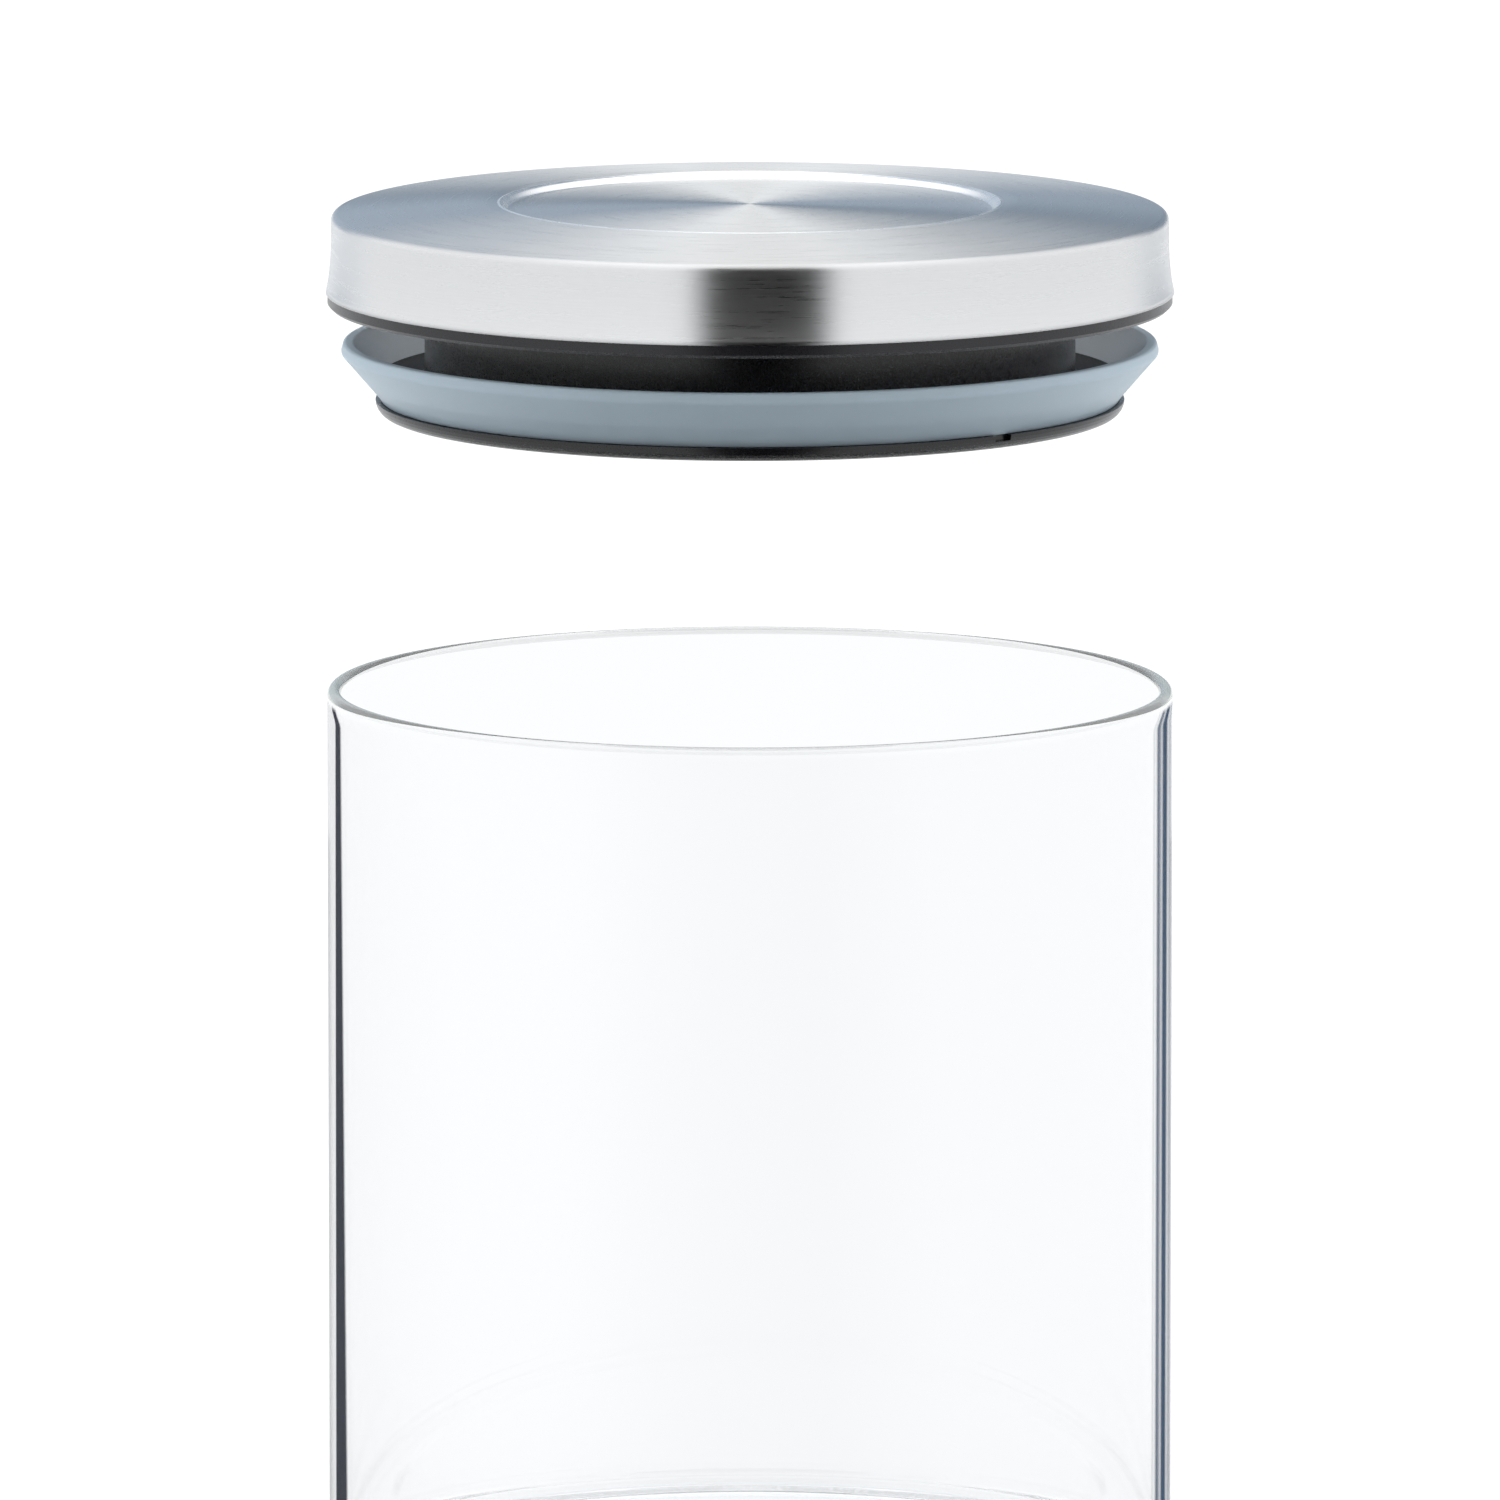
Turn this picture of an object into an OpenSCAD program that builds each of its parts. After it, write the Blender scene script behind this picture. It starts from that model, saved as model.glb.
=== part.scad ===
// Straight-walled glass storage jar with a lift-off lid: a spun steel cap on a plastic plate,
// a hub that drops into the neck, and a flared silicone seal clamped by a disc under the hub.
// The jar stands on z = 0 with its axis on Z. The lid is drawn lifted off the rim by lid_lift.

/* [Jar] */
// Outer diameter of the jar
jar_d = 100; // [80:1:140]
// Height of the jar from its foot to its rim
jar_h = 110; // [60:1:260]
// Glass thickness at the neck
neck_wall = 1.6; // [1.2:0.1:3]
// Glass thickness where the wall meets the floor
heel_wall = 2; // [1.6:0.1:4]
// Length of straight bore that the seal wipes
neck_depth = 18; // [15:1:30]
// Glass thickness of the floor
floor_t = 5.5; // [2.5:0.1:8]
// Rounding outside the foot
foot_round = 5; // [3:0.5:8]
// Rounding inside the floor
floor_round = 1.6; // [1:0.1:6]
// Width of the ring that the jar stands on
stand_w = 3; // [2:0.5:5]
// Depth of the hollow under the floor
push_up = 0.8; // [0.3:0.1:1.5]

/* [Cap] */
// How far the lid is lifted above its closed place
lid_lift = 45.5; // [0:0.5:80]
// Thickness of the steel sheet
sheet_t = 0.6; // [0.4:0.1:1]
// Height of the cap's side
cap_h = 9.4; // [7:0.1:14]
// How far the cap's wall stands back from the jar's outside
cap_setback = 0.6; // [0:0.1:2]
// How far the cap's lower edge flares out from its wall
flare = 0.65; // [0:0.05:1.5]
// Height of the flare
flare_h = 3.4; // [2:0.1:5]
// Outer rounding of the cap's top edge
cap_round = 0.9; // [0.8:0.1:2]
// Rise of the cap's top from its edge to the recess
crown = 1.3; // [0.5:0.1:3]
// Diameter of the recess in the top
recess_d = 57.2; // [30:0.1:64]
// Depth of the recess at its edge
recess_depth = 0.9; // [0.4:0.05:1.5]
// Width of the step around the recess, with its soft shoulder
recess_step = 3; // [2:0.1:4]
// Width of the step's steep inner part
recess_wall = 0.7; // [0.5:0.1:2]
// Share of the recess depth that the soft shoulder takes up
shoulder_share = 0.22; // [0:0.02:0.5]
// Rise of the recess floor at its centre
recess_crown = 0.55; // [0:0.05:1]

/* [Plate and hub] */
// Thickness of the plate that rests on the rim
plate_t = 1.55; // [1.2:0.05:3]
// How far the plate's edge stands back from the jar's outside
plate_setback = 0.15; // [0:0.05:1]
// Thickness of the plate's upstanding walls and ribs
rib_t = 1.4; // [1:0.1:2]
// Number of ribs under the cap
ribs = 8; // [4:1:12]
// Outer radius of the ring that the ribs start from
core_r = 8; // [5:1:15]
// Depth of the spigot that centres the hub
spigot_h = 2.8; // [2:0.1:4]
// Thickness of the adhesive bead under the cap
bead_t = 0.8; // [0.5:0.1:1.5]
// Width of the adhesive bead
bead_w = 3; // [2:0.5:5]
// Height of the hub under the plate
hub_h = 8.4; // [7:0.1:12]
// Room between the hub and the neck
hub_room = 10; // [8:0.5:14]
// Wall of the hub
hub_wall = 1.8; // [1.4:0.1:3]
// Rounding between the hub and its shoulder
hub_fillet = 0.7; // [0.3:0.1:1]
// Thickness of the hub's shoulder
shoulder_t = 1.5; // [1.2:0.1:2.5]
// Room between the shoulder's edge and the neck
shoulder_room = 4.7; // [4.2:0.1:6]

/* [Seal and keeper] */
// Gap between the seal's lip and the bore
lip_gap = 0.1; // [0.05:0.05:0.3]
// Depth of the lip's top edge under the plate
lip_top = 4.3; // [3:0.1:5]
// Depth of the lip's widest point under its top edge
lip_land = 1.2; // [0.8:0.1:2]
// Thickness of the lip's top edge
lip_t = 1.2; // [0.8:0.1:1.6]
// Thickness of the seal's foot
foot_t = 1.3; // [1:0.1:2]
// Room between the seal's foot and the neck
foot_room = 4.5; // [3.5:0.1:5.5]
// Thickness of the keeper disc
keeper_t = 1.7; // [1:0.1:2]
// Room between the keeper disc and the neck
keeper_room = 4.2; // [3:0.1:6]
// Height of the keeper's snap barbs
barb_h = 1.6; // [1.2:0.1:2.5]
// How far the barbs hook over the hub's shoulder
barb_w = 0.7; // [0.4:0.1:1]
// Number of snap barbs
barbs = 6; // [3:1:8]
// Share of the circle that the barbs take up
barb_share = 0.8; // [0.3:0.05:0.85]
// Width of the pry notch in the keeper's edge
notch_w = 2.4; // [1.5:0.1:4]
// Depth of the pry notch
notch_depth = 0.8; // [0.4:0.1:1.5]
// Height of the pry notch
notch_h = 0.7; // [0.3:0.1:0.9]
// Direction of the pry notch, from +X towards +Y
notch_angle = -48; // [-180:1:180]
// Running clearance between pieces that are pushed together
slip = 0.15; // [0.05:0.05:0.3]

/* [Hidden] */
$fn = 96;

jar_r = jar_d / 2;
bore_r = jar_r - neck_wall;
heel_r = jar_r - heel_wall;
rim_round = neck_wall / 2;

// Heights in the lid are measured from the plate's underside, which rests on the rim
plate_r = jar_r - plate_setback;
cap_r = jar_r - cap_setback;
cap_top = plate_t + cap_h;
cap_flat_r = cap_r - cap_round;
recess_r = recess_d / 2;
ridge_r = recess_r + recess_step;
ridge_z = cap_top + crown;
liner_wall_r = cap_r - sheet_t - slip;
liner_wall_top = cap_top - cap_round - sheet_t;
bead_r = (liner_wall_r + ridge_r) / 2;
bead_z = cap_under(bead_r + bead_w / 2) - bead_t;

hub_r = bore_r - hub_room;
shoulder_r = bore_r - shoulder_room;
shoulder_z = -hub_h - shoulder_t;
shoulder_edge = shoulder_t / 5;
keeper_z = shoulder_z - foot_t;
keeper_r = bore_r - keeper_room;
hub_bore_r = hub_r - hub_wall;
hook_r = hub_bore_r - barb_w - 2 * slip;
skirt_r = hook_r - slip;

lip_r = bore_r - lip_gap;
seal_foot_r = bore_r - foot_room;
cone_drop = shoulder_t - shoulder_edge;

// Points on an arc around c from angle a0 to a1, in n steps
function arc(c, r, a0, a1, n = 6) =
    [for (i = [0:n]) let (a = a0 + (a1 - a0) * i / n) c + r * [cos(a), sin(a)]];

// 0 to 1 with level ends
function ease(t) = t * t * (3 - 2 * t);

// How much of the recess depth the step has climbed at distance d from its foot, from 0 to 1
function step_climb(d) =
    (1 - shoulder_share) * ease(min(1, d / recess_wall)) + shoulder_share * ease(d / recess_step);

// Height of the cap's top face at radius r
function cap_face(r) =
    r <= recess_r ? ridge_z - recess_depth + recess_crown * (1 - pow(r / recess_r, 2)) :
    r <= ridge_r ? ridge_z - recess_depth * (1 - step_climb(r - recess_r)) :
    cap_top + crown * (cap_flat_r - r) / (cap_flat_r - ridge_r);

// Height of the sheet's underside at radius r
function cap_under(r) = cap_face(r) - sheet_t;

// The cap's skin from its centre to its lower edge, moved inwards by t
function cap_skin(t) = concat(
    [for (i = [0:8]) let (r = recess_r * i / 8) [r, cap_face(r) - t]],
    [for (i = [1:15]) let (r = recess_r + recess_step * i / 15) [r, cap_face(r) - t]],
    arc([cap_flat_r, cap_top - cap_round], cap_round - t, 90, 0),
    [for (i = [0:8]) [cap_r + flare * pow(i / 8, 2) - t, plate_t + flare_h * (1 - i / 8)]]
);

// Outline of a wall that stands on the plate, from its outer foot to its inner foot
function wall(r_out, r_in, top) = [[r_out, plate_t], [r_out, top], [r_in, top], [r_in, plate_t]];

function reversed(points) = [for (i = [len(points) - 1:-1:0]) points[i]];

// Puts a lid piece, drawn from the plate's underside, at its lifted place
module lifted() {
    translate([0, 0, jar_h + lid_lift]) children();
}

// Blown jar: a fire-polished rim, a straight neck, a wall that thickens towards the heel
module glass_jar() {
    color([0.85, 0.93, 0.95, 0.35]) rotate_extrude() polygon(concat(
        [[0, push_up],
         [jar_r - foot_round - stand_w - 2 * push_up, push_up],
         [jar_r - foot_round - stand_w, 0]],
        arc([jar_r - foot_round, foot_round], foot_round, -90, 0),
        arc([jar_r - rim_round, jar_h - rim_round], rim_round, 0, 180, 8),
        [[bore_r, jar_h - neck_depth]],
        arc([heel_r - floor_round, floor_t + push_up + floor_round], floor_round, 0, -90),
        [[0, floor_t + push_up]]
    ));
}

// Spun sheet steel with a round recess in its top and a flared lower edge
module steel_cap() {
    color([0.80, 0.82, 0.84]) lifted()
        rotate_extrude() polygon(concat(cap_skin(0), reversed(cap_skin(sheet_t))));
}

// Plate that rests on the rim, with the walls and ribs that carry the cap, and a spigot for the hub
module cap_liner() {
    rib_top = (plate_t + liner_wall_top) / 2;
    spigot_r = hub_bore_r - slip;
    color([0.14, 0.14, 0.16]) lifted() union() {
        rotate_extrude() polygon(concat(
            [[0, 0], [spigot_r - rib_t, 0], [spigot_r - rib_t, -spigot_h],
             [spigot_r, -spigot_h], [spigot_r, 0]],
            [[plate_r - plate_t / 4, 0], [plate_r, plate_t / 4], [plate_r, plate_t]],
            wall(liner_wall_r, liner_wall_r - rib_t, liner_wall_top),
            wall(bead_r + bead_w / 2, bead_r - bead_w / 2, bead_z),
            wall(core_r, core_r - rib_t, rib_top),
            [[0, plate_t]]
        ));
        for (i = [0:ribs - 1]) rotate([0, 0, (i + 0.5) * 360 / ribs])
            translate([core_r - rib_t / 2, -rib_t / 2, plate_t / 2])
                cube([liner_wall_r - core_r, rib_t, rib_top - plate_t / 2 - slip]);
    }
}

// Bead of adhesive between the plate's inner wall and the cap
module bond_ring() {
    r_in = bead_r - bead_w / 2;
    r_out = bead_r + bead_w / 2;
    color([0.75, 0.74, 0.70]) lifted()
        rotate_extrude() polygon([
            [r_in, bead_z], [r_out, bead_z], [r_out, cap_under(r_out)], [r_in, cap_under(r_in)]
        ]);
}

// Spool under the plate: its shoulder carries the seal and takes the keeper's barbs
module hub_cup() {
    color([0.11, 0.11, 0.12]) lifted() rotate_extrude() polygon(concat(
        [[hub_bore_r, 0], [hub_bore_r, -hub_h], [hook_r, -hub_h], [hook_r, shoulder_z],
         [shoulder_r - cone_drop, shoulder_z], [shoulder_r, shoulder_z + cone_drop], [shoulder_r, -hub_h]],
        arc([hub_r + hub_fillet, hub_fillet - hub_h], hub_fillet, 270, 180),
        [[hub_r, 0]]
    ));
}

// Silicone ring: a flat foot under the shoulder and a lip that flares up to the bore
module seal_ring() {
    tip = lip_t / 2;
    color([0.78, 0.84, 0.88]) lifted() rotate_extrude() polygon(concat(
        [[skirt_r + slip, keeper_z], [seal_foot_r - foot_t / 3, keeper_z],
         [seal_foot_r, keeper_z + foot_t / 2]],
        [[lip_r, -lip_top - lip_land], [lip_r - tip / 3, -lip_top - tip]],
        arc([lip_r - tip - tip / 3, -lip_top - tip], tip, 20, 140, 5),
        [[shoulder_r, -hub_h], [shoulder_r, shoulder_z + cone_drop],
         [shoulder_r - cone_drop, shoulder_z], [skirt_r + slip, shoulder_z]]
    ));
}

// Disc that clamps the seal, held by barbs that snap through the hub's shoulder
module keeper_disc() {
    skirt_in = skirt_r - rib_t;
    barb_z = slip - hub_h;
    pitch = 360 / barbs;
    color([0.09, 0.09, 0.10]) lifted() union() {
        difference() {
            rotate_extrude() polygon(concat(
                [[0, keeper_z - keeper_t]],
                arc([keeper_r - keeper_t, keeper_z], keeper_t, -90, 0),
                [[0, keeper_z]]
            ));
            rotate([0, 0, notch_angle]) translate([keeper_r - notch_depth, -notch_w / 2, keeper_z - notch_h])
                cube([2 * notch_depth, notch_w, 2 * notch_h]);
        }
        for (i = [0:barbs - 1]) rotate([0, 0, (i + 0.1) * pitch])
            rotate_extrude(angle = pitch * barb_share) polygon([
                [skirt_in, keeper_z - keeper_t / 2], [skirt_r, keeper_z - keeper_t / 2], [skirt_r, barb_z],
                [skirt_r + slip + barb_w, barb_z], [skirt_r, barb_z + barb_h], [skirt_in, barb_z + barb_h]
            ]);
    }
}

glass_jar();
steel_cap();
cap_liner();
bond_ring();
hub_cup();
seal_ring();
keeper_disc();
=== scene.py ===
# %% [markdown]
# # A glass storage jar with a lift-off steel lid
# The jar is clear glass. The lid is a spun steel cap on a black plastic plate, a black hub that drops
# into the neck, and a soft silicone seal clamped by a black disc. Nearly every piece is round, so one
# tool does most of the making: a lathe that spins an outline round the jar's axis.
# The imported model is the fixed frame. Everything here takes its place from it.

# %% Load the frame
import math
import bmesh
import bpy
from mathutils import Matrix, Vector


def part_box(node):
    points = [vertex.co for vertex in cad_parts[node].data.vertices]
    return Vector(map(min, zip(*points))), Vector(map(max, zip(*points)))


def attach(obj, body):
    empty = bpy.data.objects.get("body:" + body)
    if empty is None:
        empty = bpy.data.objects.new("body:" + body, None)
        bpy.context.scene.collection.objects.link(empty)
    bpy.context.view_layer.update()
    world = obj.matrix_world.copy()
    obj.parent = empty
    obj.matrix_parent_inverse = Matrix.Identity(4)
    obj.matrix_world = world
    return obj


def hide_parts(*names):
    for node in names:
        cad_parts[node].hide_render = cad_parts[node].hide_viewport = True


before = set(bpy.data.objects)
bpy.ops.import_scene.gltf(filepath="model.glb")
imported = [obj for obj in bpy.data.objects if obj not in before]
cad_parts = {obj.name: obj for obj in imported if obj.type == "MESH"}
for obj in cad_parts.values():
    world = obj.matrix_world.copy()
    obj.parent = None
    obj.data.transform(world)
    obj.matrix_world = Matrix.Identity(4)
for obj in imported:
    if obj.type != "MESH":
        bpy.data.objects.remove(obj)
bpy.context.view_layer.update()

# %% [markdown]
# Sizes first. They could be typed in, but the frame already says how wide and how high each piece is,
# so those numbers are read and never repeated. Only what a box can't show, such as a wall's thickness,
# is written here, in metres.

# %% Read the sizes
MM = 0.001

jar_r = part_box("glass_jar")[1].x
jar_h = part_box("glass_jar")[1].z
cap_low, cap_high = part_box("steel_cap")
hub_low, hub_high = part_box("hub_cup")
seal_low, seal_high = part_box("seal_ring")
seat_z = hub_high.z             # the plate's underside, which rests on the rim when the jar is shut

neck_wall = 1.6 * MM
bore_r = jar_r - neck_wall
print(f"jar: {2 * jar_r / MM:.1f} mm wide, {jar_h / MM:.1f} mm high")
print(f"lid: lifted {(seat_z - jar_h) / MM:.1f} mm")

# %% [markdown]
# The camera stands 2.5 m in front of the jar and looks a little down on its rim. From close by, the
# foot would be seen much more from above than the lid. From this far, with a long lens, all circles are
# nearly the same flat ellipse. The camera aims just under the rim.

# %% Camera
camera_distance = 2.5
look_down = math.radians(8.37)
aim_z = jar_h - 7.7 * MM
view_width = 177.5 * MM
sensor_width = 36

camera_data = bpy.data.cameras.new("studio_camera")
camera = bpy.data.objects.new("studio_camera", camera_data)
camera.location = (0, -camera_distance, jar_h + camera_distance * math.tan(look_down))
sight = Vector((0, 0, aim_z)) - camera.location
camera.rotation_euler = sight.to_track_quat("-Z", "Y").to_euler()
camera_data.sensor_width = sensor_width
camera_data.lens = sensor_width * sight.length / view_width
camera_data.clip_end = 200
bpy.context.scene.collection.objects.link(camera)
bpy.context.scene.camera = camera
print(f"camera: {camera_data.lens:.0f} mm lens, {sight.length:.2f} m from the point it aims at")

# %% [markdown]
# A finish is a tree of shader nodes. Adding and linking each node by hand takes many lines, so small
# helpers make the most common ones. The first makes any node, and the second a Math node.

# %% Node helpers
def add_node(tree, kind, **settings):
    """A new node with its properties set."""
    node = tree.nodes.new(kind)
    for name, value in settings.items():
        setattr(node, name, value)
    return node


def math_node(tree, operation, a, b=0.0, clamp=False):
    """A Math node. Each of a and b is a number or the output of another node."""
    node = add_node(tree, "ShaderNodeMath", operation=operation, use_clamp=clamp)
    for socket, value in zip(node.inputs, (a, b)):
        if isinstance(value, (int, float)):
            socket.default_value = value
        else:
            tree.links.new(value, socket)
    return node.outputs[0]


print("node helpers ready")

# %% [markdown]
# The next two make soft changes, because a real surface seldom changes at a hard line: a smooth step
# from one number to another, and a colour between two colours.

# %% Smooth steps and mixes
def smooth_between(tree, value, low, high, out_low=0.0, out_high=1.0):
    """Goes smoothly from out_low to out_high as value goes from low to high."""
    node = add_node(tree, "ShaderNodeMapRange", interpolation_type="SMOOTHSTEP")
    tree.links.new(value, node.inputs["Value"])
    limits = {"From Min": low, "From Max": high, "To Min": out_low, "To Max": out_high}
    for name, number in limits.items():
        node.inputs[name].default_value = number
    return node.outputs["Result"]


def colour_mix(tree, factor, a, b):
    """A colour between two colours, each a tuple or the output of another node."""
    node = add_node(tree, "ShaderNodeMix", data_type="RGBA")
    tree.links.new(factor, node.inputs["Factor"])
    for socket, value in ((node.inputs["A"], a), (node.inputs["B"], b)):
        if isinstance(value, tuple):
            socket.default_value = (*value, 1)
        else:
            tree.links.new(value, socket)
    return node.outputs["Result"]


print("smooth steps and colour mixes ready")

# %% [markdown]
# A material starts as one Principled shader. Where a surface is two things at once, such as clear and
# milky, a second shader is laid over the first.

# %% Finish helpers
def new_finish(name, **sockets):
    """A material with one Principled shader, whose sockets are set by name."""
    material = bpy.data.materials.new(name)
    material.use_nodes = True
    tree = material.node_tree
    shader = tree.nodes["Principled BSDF"]
    for socket, value in sockets.items():
        shader.inputs[socket.replace("_", " ")].default_value = value
    return material, tree, shader


def mix_shaders(tree, factor, a, b):
    """Lays shader b over shader a and makes the mix the surface. factor is a number or an output."""
    mix = add_node(tree, "ShaderNodeMixShader")
    if isinstance(factor, (int, float)):
        mix.inputs[0].default_value = factor
    else:
        tree.links.new(factor, mix.inputs[0])
    tree.links.new(a.outputs[0], mix.inputs[1])
    tree.links.new(b.outputs[0], mix.inputs[2])
    tree.links.new(mix.outputs[0], tree.nodes["Material Output"].inputs["Surface"])


print("finish helpers ready")

# %% [markdown]
# Nothing real is perfectly even, so noise gives each surface its life. It could be painted on as an
# image, but noise is made from the object's own coordinates: it is sharp at any distance, and it stays
# on a piece when the lid moves. The same noise can lift the surface a little, as bump.

# %% Pattern helpers
def object_position(tree):
    return add_node(tree, "ShaderNodeTexCoord").outputs["Object"]


def noise(tree, vector, scale, detail=4.0, roughness=0.6):
    node = add_node(tree, "ShaderNodeTexNoise")
    tree.links.new(vector, node.inputs["Vector"])
    node.inputs["Scale"].default_value = scale
    node.inputs["Detail"].default_value = detail
    node.inputs["Roughness"].default_value = roughness
    return node.outputs["Fac"]


def bump(tree, shader, height, distance, strength=1.0):
    node = add_node(tree, "ShaderNodeBump")
    node.inputs["Strength"].default_value = strength
    node.inputs["Distance"].default_value = distance
    tree.links.new(height, node.inputs["Height"])
    tree.links.new(node.outputs["Normal"], shader.inputs["Normal"])


print("pattern helpers ready")

# %% [markdown]
# The studio is a white floor under a soft white dome. Brushed steel only looks like steel if the room
# that it mirrors has bright and dark parts. Panels and flags round the jar could do that, but they
# would show through the glass. So the sky itself asks what kind of ray is looking. Blurred mirror
# images see a room, straight rays see the plain dome, and all others see the dome's soft light.

# %% Which rays see the room
SHARP_SHARE = 0.9               # how much of the room a sharp reflection, as on glass, misses


def blurred_mirror(tree):
    """1 for a ray that a satin surface reflects, a tenth for a sharp reflection, 0 for any other."""
    rays = add_node(tree, "ShaderNodeLightPath")
    sharp = math_node(tree, "MULTIPLY", rays.outputs["Is Singular Ray"], SHARP_SHARE)
    glossy, reflection = rays.outputs["Is Glossy Ray"], rays.outputs["Is Reflection Ray"]
    reflected = math_node(tree, "MULTIPLY", glossy, reflection)
    return math_node(tree, "MULTIPLY", reflected, math_node(tree, "SUBTRACT", 1.0, sharp))


def straight_ray(tree):
    """1 for a ray that comes straight from the camera or through clear glass, 0 for any other ray."""
    rays = add_node(tree, "ShaderNodeLightPath")
    return math_node(tree, "MAXIMUM", rays.outputs["Is Camera Ray"], rays.outputs["Is Singular Ray"])


print("rays: satin mirror images are told apart from straight views")

# %% [markdown]
# The front, where the camera stands, is dark in two ways. For blurred mirror images it is a narrow
# black gap, which draws the dark band on the cap's side. For soft light it is a wide and gentle
# dimming, which makes the middle of the seal darker than its ends. One function builds both.

# %% Dark front
def turn_from_front(tree, direction):
    """How far round the jar a direction points, in radians, with 0 in front, and its split parts."""
    split = add_node(tree, "ShaderNodeSeparateXYZ")
    tree.links.new(direction, split.inputs[0])
    backwards = math_node(tree, "MULTIPLY", split.outputs["Y"], -1.0)
    return math_node(tree, "ARCTAN2", split.outputs["X"], backwards), split


def front_shade(name, centre, dark_to, light_from, least):
    """A node group that gives 1 for a direction, or least within dark_to degrees of the centre."""
    tree = bpy.data.node_groups.new(name, "ShaderNodeTree")
    tree.interface.new_socket("Direction", in_out="INPUT", socket_type="NodeSocketVector")
    tree.interface.new_socket("Light", in_out="OUTPUT", socket_type="NodeSocketFloat")
    entry = add_node(tree, "NodeGroupInput")
    leave = add_node(tree, "NodeGroupOutput")
    turn, _ = turn_from_front(tree, entry.outputs["Direction"])
    away = math_node(tree, "ABSOLUTE", math_node(tree, "SUBTRACT", turn, math.radians(centre)))
    low, high = math.radians(dark_to), math.radians(light_from)
    tree.links.new(smooth_between(tree, away, low, high, least, 1.0), leave.inputs["Light"])
    return tree


def shaded(tree, group, direction, colour):
    """A colour times what a node group gives for a direction."""
    shade = add_node(tree, "ShaderNodeGroup", node_tree=group)
    tree.links.new(direction, shade.inputs[0])
    return colour_mix(tree, shade.outputs[0], (0.0, 0.0, 0.0), colour)


front_gap = front_shade("front_gap", centre=3.8, dark_to=12.8, light_from=22.8, least=0.0)
front_dim = front_shade("front_dim", centre=0.0, dark_to=15, light_from=55, least=0.22)
print("dark front:", front_gap.name, "for mirror images,", front_dim.name, "for soft light")

# %% [markdown]
# The sky. The plain dome is a little brighter overhead. The room has bright sides, a dim bluish wall
# behind that is lighter on the left, and a tall light on that wall. The tall light draws the bright
# bow-tie on the spun top, where the rings' scratches face it. A big lamp overhead is the white that
# the step round the recess picks up.

# %% Sky
DOME_LOW, DOME_HIGH = (1.08, 1.1, 1.12), (1.42, 1.42, 1.42)
ROOM_SIDES = (1.2, 1.21, 1.22)
WALL_LEFT, WALL_RIGHT = (0.44, 0.52, 0.62), (0.24, 0.30, 0.37)
TALL_LIGHT = (1.16, 1.17, 1.15)
LAMP = (1.6, 1.6, 1.6)


def mirrored_room(tree, direction, turn, side, height, overhead):
    """What a blurred mirror image sees in a direction."""
    away = math_node(tree, "ABSOLUTE", turn)
    wall = colour_mix(tree, smooth_between(tree, side, -0.12, 0.12), WALL_LEFT, WALL_RIGHT)
    behind = smooth_between(tree, away, math.radians(125), math.radians(155))
    room = colour_mix(tree, behind, ROOM_SIDES, wall)
    from_back = math_node(tree, "SUBTRACT", math.pi, away)
    across = smooth_between(tree, from_back, math.radians(3), math.radians(11), 1.0, 0.0)
    upright = smooth_between(tree, height, 0.26, 0.42)
    room = colour_mix(tree, math_node(tree, "MULTIPLY", across, upright), room, TALL_LIGHT)
    return colour_mix(tree, overhead, shaded(tree, front_gap, direction, room), LAMP)


world = bpy.data.worlds.new("soft_box_sky")
world.use_nodes = True
sky = world.node_tree
direction = add_node(sky, "ShaderNodeTexCoord").outputs["Generated"]
turn, split = turn_from_front(sky, direction)
side, height = split.outputs["X"], split.outputs["Z"]
overhead = smooth_between(sky, height, 0.73, 0.90)
dome = colour_mix(sky, smooth_between(sky, height, 0.0, 0.7), DOME_LOW, DOME_HIGH)
soft = colour_mix(sky, overhead, shaded(sky, front_dim, direction, dome), dome)
soft = colour_mix(sky, straight_ray(sky), soft, dome)
room = mirrored_room(sky, direction, turn, side, height, overhead)
seen = colour_mix(sky, blurred_mirror(sky), soft, room)
sky.links.new(seen, sky.nodes["Background"].inputs["Color"])
bpy.context.scene.world = world
print("sky:", len(sky.nodes), "nodes")

# %% [markdown]
# The floor is one big white sheet, so wide that it meets the sky unseen. A plain white plane would show
# a grey shadow. So where it is looked at, most of its light is its own, as on a sweep that is lit from
# below, and a small share takes shadows. Seen straight it is a shade brighter than through glass, which
# gives the glass a faint tone of its own. Satin surfaces mirror the dark front in it too.

# %% Floor
FLOOR_WHITE = (0.84, 0.85, 0.86)
FLOOR_SEEN = (0.16, 0.16, 0.16)         # the share that takes shadows, where it is looked at
OWN_LIGHT_STRAIGHT = 0.94
OWN_LIGHT_THROUGH_GLASS = 0.80


def white_sweep():
    material, tree, shader = new_finish("white_sweep", Roughness=0.9, Specular_IOR_Level=0.0)
    place = add_node(tree, "ShaderNodeNewGeometry").outputs["Position"]
    rays = add_node(tree, "ShaderNodeLightPath")
    straight, sharp = rays.outputs["Is Camera Ray"], rays.outputs["Is Singular Ray"]
    through = math_node(tree, "MULTIPLY", rays.outputs["Is Transmission Ray"], sharp)
    soft = shaded(tree, front_dim, place, FLOOR_WHITE)
    mirrored = shaded(tree, front_gap, place, FLOOR_WHITE)
    colour = colour_mix(tree, blurred_mirror(tree), soft, mirrored)
    looked_at = math_node(tree, "MAXIMUM", straight, through)
    tree.links.new(colour_mix(tree, looked_at, colour, FLOOR_SEEN), shader.inputs["Base Color"])
    own = math_node(tree, "ADD", math_node(tree, "MULTIPLY", straight, OWN_LIGHT_STRAIGHT),
                    math_node(tree, "MULTIPLY", through, OWN_LIGHT_THROUGH_GLASS))
    shader.inputs["Emission Color"].default_value = (1, 1, 1, 1)
    tree.links.new(own, shader.inputs["Emission Strength"])
    return material


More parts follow.
